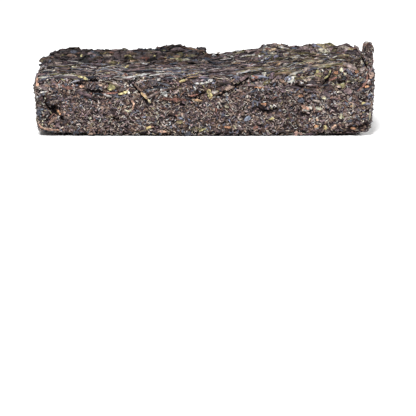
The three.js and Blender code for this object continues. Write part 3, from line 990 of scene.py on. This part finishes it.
class TEA_OT_strands(bpy.types.Operator):
    """Lays twisted leaf strands over the top, the base and the upper edges"""

    bl_idname = "tea.strands"
    bl_label = "Leaf strands"

    RINGS = 9
    SIDES = 5
    # Painted shade: how much the strands are darkened on the top and the base, and on the sides, against the
    # light from above.
    ON_TOP, ON_SIDES = 0.73, 0.85
    MIXTURE = {
        "black": 3.5, "dark": 5, "slate": 6, "grey": 3.5, "plum": 0.8, "brown": 1.2, "taupe": 0.9,
        "olive": 0.9, "russet": 0.3, "silver": 0.4, "tan": 0.35,
    }

    def execute(self, context):
        gap = context.scene.tea_sizes.strand_gap / MM
        form = {"ribs": 30.0, "grain": 0.0010, "stretch": 4.0}
        finish = leaf_finish("twisted_leaf", **form, roughness=0.5, sheen=0.12, clean=0.56)

        def upper_sides(spots, out):
            return (1 - np.abs(out[:, 2])) * np.clip(height_share(spots, low=14, high=20), 0.02, 0.9)

        def upward(spots, out):
            return facing(out, "+z") ** 2

        def downward(spots, out):
            return facing(out, "-z") ** 2

        # For each layer: seed, gap, chance, lengths, widths, and how far up or down it has to look.
        layers = {
            "top_strands": (21, gap, upward, (6, 17), (0.6, 1.5), 0.35),
            "base_strands": (22, gap * 1.75, downward, (6, 15), (0.8, 1.8), 0.8),
            "side_strands": (23, gap * 1.2, upper_sides, (3, 9), (0.45, 1.1), 0.0),
        }
        for name, (seed, spacing, chance, lengths, widths, level) in layers.items():

            def chance_off_ridge(spots, out):
                return chance(spots, out) * (1 - on_ridge(spots))

            rng = np.random.default_rng(seed)
            places, ways = skin().spread(rng, spacing, chance_off_ridge)
            count = len(places)
            length, width = rng.uniform(*lengths, count), rng.uniform(*widths, count)
            along = heading(rng, ways, 0.5)
            paths, outs = laid_paths(rng, places, ways, along, length, self.RINGS, curve=0.1)
            keep = clear_of_slits(paths) & (np.abs(outs[:, :, 2]).min(axis=1) >= level)
            keep &= ~within(paths, **RIDGE).any(axis=1)
            paths, outs, width, count = paths[keep], outs[keep], width[keep], int(keep.sum())
            lift = rng.uniform(-0.3, 0.55, (count, 1, 1)) + 0.1 * rng.normal(0, 1, (count, self.RINGS, 1))
            thick = width * rng.uniform(0.35, 0.6, count)
            form = {"crease": 0.35, "twist": 1.2, "taper": 0.6}
            corners = rods(rng, paths + outs * lift, outs, width, thick, self.SIDES, **form)
            tones = drawn_tones(rng, places[keep], self.MIXTURE, vary=0.8, gold=0.38)
            # Painted shade, stronger on the top and the base than on the sides.
            tones = tones * (self.ON_TOP if level > 0 else self.ON_SIDES)
            # Painted highlights along the strands' two edges.
            tones = streaked(rng, tones, self.RINGS, self.SIDES, along=0.3, across=0.45, edges=0.6)
            joined_piece(name, rod_pattern(self.RINGS, self.SIDES), corners, tones, finish, smooth=True)
        return {"FINISHED"}


class TEA_OT_flakes(bpy.types.Operator):
    """Sets broken leaf flakes on the sides, and curled leaves on the loose layer"""

    bl_idname = "tea.flakes"
    bl_label = "Leaf flakes"

    def execute(self, context):
        gap = context.scene.tea_sizes.flake_gap / MM
        finish = leaf_finish("broken_leaf", sheen=0.2)
        mixture = {
            "dark": 5, "slate": 3.2, "grey": 3, "plum": 0.9, "brown": 2.4, "taupe": 0.45, "olive": 1.6,
            "moss": 0.3, "silver": 0.2, "russet": 0.6, "tan": 0.3, "black": 2.5,
        }

        def on_sides(spots, out):
            high, below = np.clip(height_share(spots, low=14, high=23), 0.05, 1), facing(out, "-z")
            return (1 - 0.4 * below) * np.maximum(high, 0.3 * below) * (1 - on_ridge(spots))

        def on_top(spots, out):
            rough = within(spots, **LOOSE_LAYER) | within(spots, **LUMPS)
            return facing(out, "+z") * rough * (1 - on_ridge(spots))

        def on_layer(spots, out):
            share = np.where(within(spots, **LOOSE_LAYER), 0.9, 0.5)
            return on_top(spots, out) * within(spots, back=30) * share

        # For each kind: seed, gap, chance, cells, lengths, lifts, curl, crinkle, and whether it is laid down.
        kinds = {
            "leaf_flakes": (31, gap, on_sides, (3, 2), (1.6, 4.6), (0.05, 0.3), 0.25, 0.1, True),
            "curled_leaves": (32, gap * 1.25, on_top, (5, 3), (3.5, 8.0), (0.1, 0.4), 0.5, 0.12, True),
            "leaning_leaves": (33, gap * 1.1, on_layer, (4, 2), (2.5, 8.0), (0.2, 0.7), 0.4, 0.2, False),
        }
        for name, (seed, spacing, chance, cells, lengths, lifts, curl, crinkle, laid) in kinds.items():
            rng = np.random.default_rng(seed)
            places, ways = skin().spread(rng, spacing, chance)
            clear = skin().hollow(places, 1.2) < 0.2
            places, ways, count = places[clear], ways[clear], int(clear.sum())
            length = rng.uniform(*lengths, count)
            width = length * rng.uniform(0.3, 0.7, count)
            along = heading(rng, ways, 1.0)
            thick, lift = rng.uniform(0.16, 0.3, count), rng.uniform(*lifts, count)
            if not laid:
                places = places + ways * lift[:, None]
                ways = unit(ways * rng.uniform(0.2, 1.2, (count, 1)) + np.array([0, -1.0, 0]))
                along = heading(rng, ways, 0.5)
                width = np.clip(width, 1.2, 2.8)
                lift = lift * 0
            size = (length, width, thick)
            corners, bright = sheets(rng, places, ways, along, cells, *size, lift, curl, crinkle, laid)
            # The flakes' brightness carries the painted rim highlight.
            tones = drawn_tones(rng, places, mixture, vary=0.45, gold=0.18)[:, None] * bright
            joined_piece(name, sheet_pattern(*cells), corners, tones.clip(DARKEST_FLAKE, BRIGHTEST), finish)
        return {"FINISHED"}


class TEA_OT_stems(bpy.types.Operator):
    """Sets thin red-brown and tan stems among the leaves"""

    bl_idname = "tea.stems"
    bl_label = "Stems"

    # Rings and sides.
    SHAPE = (7, 4)

    def execute(self, context):
        gap = context.scene.tea_sizes.stem_gap / MM
        finish = leaf_finish("stem", ribs=9.0)
        mixture = {
            "russet": 4, "tan": 1.5, "brown": 4, "plum": 2.5, "orange": 0.3, "olive": 1.5, "straw": 0.3,
        }
        rng = np.random.default_rng(41)
        places, ways = skin().spread(rng, gap, lambda spots, out: 0.8 - 0.4 * facing(out, "-z"))
        count = len(places)
        length, width = rng.uniform(2, 6, count), rng.uniform(0.28, 0.55, count)
        along = heading(rng, ways, 1.3)
        paths, outs = laid_paths(rng, places, ways, along, length, self.SHAPE[0], curve=0.14)
        keep = clear_of_slits(paths)
        paths, outs, width, count = paths[keep], outs[keep], width[keep], int(keep.sum())
        lift = rng.uniform(-0.05, 0.25, (count, 1, 1))
        form = {"crease": 0.15, "twist": 0.5, "taper": 0.35}
        corners = rods(rng, paths + outs * lift, outs, width, width * 0.8, self.SHAPE[1], **form)
        tones = streaked(rng, drawn_tones(rng, places[keep], mixture), *self.SHAPE, along=0.2, across=0.2)
        joined_piece("stems", rod_pattern(*self.SHAPE), corners, tones, finish, smooth=True)
        return {"FINISHED"}


class TEA_OT_tips(bpy.types.Operator):
    """Sprinkles pale tips and bright grains"""

    bl_idname = "tea.tips"
    bl_label = "Pale tips"

    # Rings and sides.
    SHAPE = (4, 4)

    def execute(self, context):
        gap = context.scene.tea_sizes.tip_gap / MM
        finish = leaf_finish("pale_tip")
        mixture = {
            "cream": 2.4, "tan": 3, "straw": 1.2, "orange": 0.5, "peach": 0.8, "silver": 3, "moss": 0.9,
        }
        rng = np.random.default_rng(51)
        places, ways = skin().spread(rng, gap, lambda spots, out: 0.8 - 0.4 * np.abs(out[:, 2]))
        count = len(places)
        width = rng.uniform(0.25, 0.5, count)
        length = width * rng.uniform(1.5, 5, count)
        lean = unit(ways + 0.25 * rng.normal(0, 1, (count, 3)))
        along = heading(rng, lean, 1.5)
        middles = places + ways * rng.uniform(0.0, 0.25, (count, 1))
        paths, outs = straight_paths(rng, middles, lean, along, length, self.SHAPE[0], curve=0.5)
        form = {"crease": 0.3, "twist": 0.6, "taper": 0.6}
        corners = rods(rng, paths, outs, width, width * 0.7, self.SHAPE[1], **form)
        tones = streaked(rng, drawn_tones(rng, places, mixture), *self.SHAPE, along=0.25, across=0.2)
        joined_piece("pale_tips", rod_pattern(*self.SHAPE), corners, tones, finish)
        return {"FINISHED"}


class TEA_OT_splinters(bpy.types.Operator):
    """Lets small splinters stick out at the left end and along the top edges"""

    bl_idname = "tea.splinters"
    bl_label = "Splinters"

    # The gap between splinters, and where the ends and the rim begin, all in millimetres.
    GAP, ENDS, RIM = 1.7, 63, 30
    # Rings and sides.
    SHAPE = (4, 4)

    def execute(self, context):
        finish = leaf_finish("splinter", roughness=0.5, sheen=0.15)
        mixture = {"black": 3, "dark": 5, "slate": 3, "brown": 2, "plum": 1, "grey": 1}
        rng = np.random.default_rng(71)

        def chance(spots, out):
            ends = np.clip(height_share(spots, low=16, high=24), 0.04, 0.8)
            ends *= np.abs(spots[:, 0]) > self.ENDS
            rim = within(spots, front=self.RIM) & (out[:, 2] > 0.3) & (out[:, 2] < 0.95)
            away = within(spots, right=-4) | within(spots, left=10)
            return np.maximum(ends * (1 - 0.6 * facing(out, "-y")), 0.25 * rim) * (1 - on_ridge(spots)) * away

        places, ways = skin().spread(rng, self.GAP, chance)
        count = len(places)
        width = rng.uniform(0.4, 0.85, count)
        length = rng.uniform(1.0, 2.2, count)
        flat = heading(rng, ways, 3.1)
        along = unit(flat + ways * rng.uniform(0.3, 1.2, (count, 1)))
        outward = unit(np.cross(np.cross(along, ways), along))
        middles = places + along * (length * 0.3)[:, None]
        paths, outs = straight_paths(rng, middles, outward, along, length, self.SHAPE[0], curve=0.3)
        form = {"crease": 0.3, "twist": 0.5, "taper": 0.8}
        corners = rods(rng, paths, outs, width, width * 0.4, self.SHAPE[1], **form)
        tones = streaked(rng, drawn_tones(rng, places, mixture), *self.SHAPE, along=0.2, across=0.2)
        joined_piece("splinters", rod_pattern(*self.SHAPE), corners, tones, finish)
        return {"FINISHED"}


class TEA_OT_shown(bpy.types.Operator):
    """Sets the stems, buds and leaves that stand out in the photograph in their places, and paints black
    shadow lines along the slits
    """

    bl_idname = "tea.shown"
    bl_label = "Leaves in the photograph"

    RINGS = 9
    SIDES = 8
    CELLS = (6, 4)
    # A line that runs further back than this, in millimetres, stands up instead.
    STEEP = 7.0
    # How far a line that stands up reaches out of the surface at most, in millimetres.
    HIGH = 1.3
    # The places, from near to far, that a line that stands up is tried at.
    TRIES = 24
    # Pieces at least this wide are flakes, and the others are rods.
    BROAD = 1.4
    # How bright the pieces are beside others of their colour on the surface, how bright the shadow lines
    # painted in the slits are, and how bright a flake is beside a rod.
    FRESH, HIDDEN, FLAT = 0.75, 0.1, 0.75

    def execute(self, context):
        colours = context.scene.tea_colours
        leaves, flakes, slits = [], [], []
        for colour, width, *picture_places in SHOWN_PIECES:
            path, outs, laid = self.path(picture_places)
            kind = flakes if laid and width >= self.BROAD else leaves
            kind.append((path, outs, width, np.array(getattr(colours, colour)) * self.FRESH))
        # Painted shadow: a black line along each slit, laid over the crumbs.
        for wide, _, *picture_places in CREVICES:
            path, outs, _ = self.path(picture_places)
            slits.append((path, outs, min(wide * 1.3, 0.8), np.array(colours.black) * self.HIDDEN))
        rng = np.random.default_rng(61)
        finish = leaf_finish("shown_leaf", sheen=0.2, clean=0.55)
        # The painted shadow lines have no sheen.
        shaded = leaf_finish("shaded_leaf", roughness=0.6, sheen=0.0)
        self.rod_piece(rng, "shown_leaves", leaves, finish)
        self.rod_piece(rng, "slit_leaves", slits, shaded)
        self.flake_piece(rng, "shown_flakes", flakes, finish)
        return {"FINISHED"}

    def rod_piece(self, rng, name, pieces, finish):
        paths, outs, width, tones = (np.array(part) for part in zip(*pieces))
        lift = 0.2 + 0.1 * width + 0.25 * facing(outs[:, 0], "+z")
        thick = np.minimum(width * 0.6, 0.5)
        paths = paths + outs * lift[:, None, None]
        form = {"crease": 0.4, "twist": 0.35, "taper": 0.8, "wobble": 0.4}
        corners = rods(rng, paths, outs, width, thick, self.SIDES, **form)
        tones = streaked(rng, tones, self.RINGS, self.SIDES, along=0.2, across=0.25)
        joined_piece(name, rod_pattern(self.RINGS, self.SIDES), corners, tones, finish)

    def flake_piece(self, rng, name, pieces, finish):
        paths, outs, width, tones = (np.array(part) for part in zip(*pieces))
        middle, ways = paths[:, self.RINGS // 2], outs[:, self.RINGS // 2]
        ahead = paths[:, -1] - paths[:, 0]
        length = np.linalg.norm(ahead, axis=1)
        along = unit(ahead - ways * (ahead * ways).sum(axis=1, keepdims=True))
        thick, lift = np.full(len(width), 0.2), np.full(len(width), 0.25)
        size = (length * 1.1, width * 1.2, thick)
        form = {"curl": 0.15, "crinkle": 0.12, "laid": True, "ragged": 0.5}
        corners, bright = sheets(rng, middle, ways, along, self.CELLS, *size, lift, **form)
        # The flakes' brightness carries the painted rim highlight.
        tones = (self.FLAT * tones[:, None] * bright).clip(DARKEST_FLAKE, BRIGHTEST)
        joined_piece(name, sheet_pattern(*self.CELLS), corners, tones, finish)

    def path(self, picture_places):
        """The line on the brick, the ways out along it, and whether it is laid down.

        Where the line would run too far back it stands up to the view instead. It is then moved back until it
        reaches out of the surface by no more than HIGH.
        """
        spots, complete = skin().line(picture_places, 0.25)
        chosen = np.linspace(0, len(spots) - 1, self.RINGS).round().astype(int)
        spots, ways = skin().rest(spots[chosen])
        laid = complete and np.ptp(spots[:, 1]) <= self.STEEP
        if not laid:
            near, far = spots[:, 1].min() + 1.0, spots[:, 1].max() - 1.0
            rays = np.array([skin().ray(*place) for place in picture_line(picture_places, self.RINGS)])
            start = np.array(VIEW_PLACE)
            for depth in np.linspace(near, far, self.TRIES) if complete else (far,):
                spots = start + rays * ((depth - start[1]) / rays[:, 1])[:, None]
                under, out = skin().rest(spots)
                if ((spots - under) * out).sum(axis=1).max() <= self.HIGH:
                    break
            ways = -rays
        return spots, ways, laid


class TEA_OT_stage(bpy.types.Operator):
    """Sets up the pale floor, the soft light and the camera"""

    bl_idname = "tea.stage"
    bl_label = "Stage"

    def execute(self, context):
        stage = context.scene.tea_stage
        self.floor(stage)
        self.sky(context.scene, stage)
        self.lamp("front_light", place=(-0.2, -1.25, 1.25), power=stage.key, size=0.5)
        self.lamp("side_light", place=(1.3, -0.5, 0.9), power=stage.key * 0.3, size=0.7)
        self.camera(context.scene)
        context.scene.view_settings.view_transform = "Standard"
        return {"FINISHED"}

    def floor(self, stage):
        finish = Finish("pale_floor")
        speck = finish.speckle(0.004)
        grey = (0.8, 0.8, 0.8, 1)
        colour = finish.mix(speck * 0.04, (*stage.floor, 1), grey)
        material = finish.surface(colour, speck * 0.1 + 0.7, finish.bump(speck, 0.00002), sheen=0.1)
        mesh = bpy.data.meshes.new("floor")
        half, back = 2.5, 3.5
        corners = [(-half, -half, 0), (half, -half, 0), (half, back, 0), (-half, back, 0)]
        mesh.from_pydata(corners, [], [(0, 1, 2, 3)])
        mesh.materials.append(material)
        floor = bpy.data.objects.new("floor", mesh)
        bpy.context.scene.collection.objects.link(floor)

    def sky(self, scene, stage):
        world = bpy.data.worlds.new("soft_light")
        world.use_nodes = True
        background = world.node_tree.nodes["Background"]
        background.inputs["Color"].default_value = (1, 1, 1, 1)
        background.inputs["Strength"].default_value = stage.ambient
        scene.world = world

    def lamp(self, name, place, power, size):
        light = bpy.data.lights.new(name, "AREA")
        light.shape = "DISK"
        light.size = size
        light.energy = power
        lamp = bpy.data.objects.new(name, light)
        lamp.location = place
        lamp.rotation_euler = (-Vector(place)).to_track_quat("-Z", "Y").to_euler()
        bpy.context.scene.collection.objects.link(lamp)

    def camera(self, scene):
        lens = bpy.data.cameras.new("camera")
        lens.sensor_width = SENSOR_WIDTH
        lens.lens = SENSOR_WIDTH / 2 / math.tan(math.radians(VIEW_ANGLE) / 2)
        lens.clip_start = 0.05
        camera = bpy.data.objects.new("camera", lens)
        camera.location = Vector(VIEW_PLACE) * MM
        camera.rotation_euler = (math.radians(90 - VIEW_PITCH), 0, 0)
        scene.collection.objects.link(camera)
        scene.camera = camera


class TEA_PT_panel(bpy.types.Panel):
    """Lists the steps that build the brick"""

    bl_idname = "TEA_PT_panel"
    bl_label = "Tea brick"
    bl_space_type = "VIEW_3D"
    bl_region_type = "UI"
    bl_category = "Tea brick"

    def draw(self, context):
        for step in STEPS:
            self.layout.operator(step.bl_idname)
        for group in (context.scene.tea_sizes, context.scene.tea_colours, context.scene.tea_stage):
            for name in group.bl_rna.properties.keys():
                if name not in {"rna_type", "name"}:
                    self.layout.prop(group, name)


STEPS = (
    TEA_OT_surface,
    TEA_OT_crumbs,
    TEA_OT_strands,
    TEA_OT_flakes,
    TEA_OT_stems,
    TEA_OT_tips,
    TEA_OT_splinters,
    TEA_OT_shown,
    TEA_OT_stage,
)
GROUPS = {"tea_sizes": TeaSizes, "tea_colours": TeaColours, "tea_stage": TeaStage}
CLASSES = (*GROUPS.values(), *STEPS, TEA_PT_panel)


def register():
    for kind in CLASSES:
        bpy.utils.register_class(kind)
    for name, group in GROUPS.items():
        setattr(bpy.types.Scene, name, bpy.props.PointerProperty(type=group))


def unregister():
    for name in GROUPS:
        delattr(bpy.types.Scene, name)
    for kind in reversed(CLASSES):
        bpy.utils.unregister_class(kind)


def main():
    register()
    for step in STEPS:
        group, name = step.bl_idname.split(".")
        getattr(getattr(bpy.ops, group), name)()


if __name__ == "__main__":
    main()
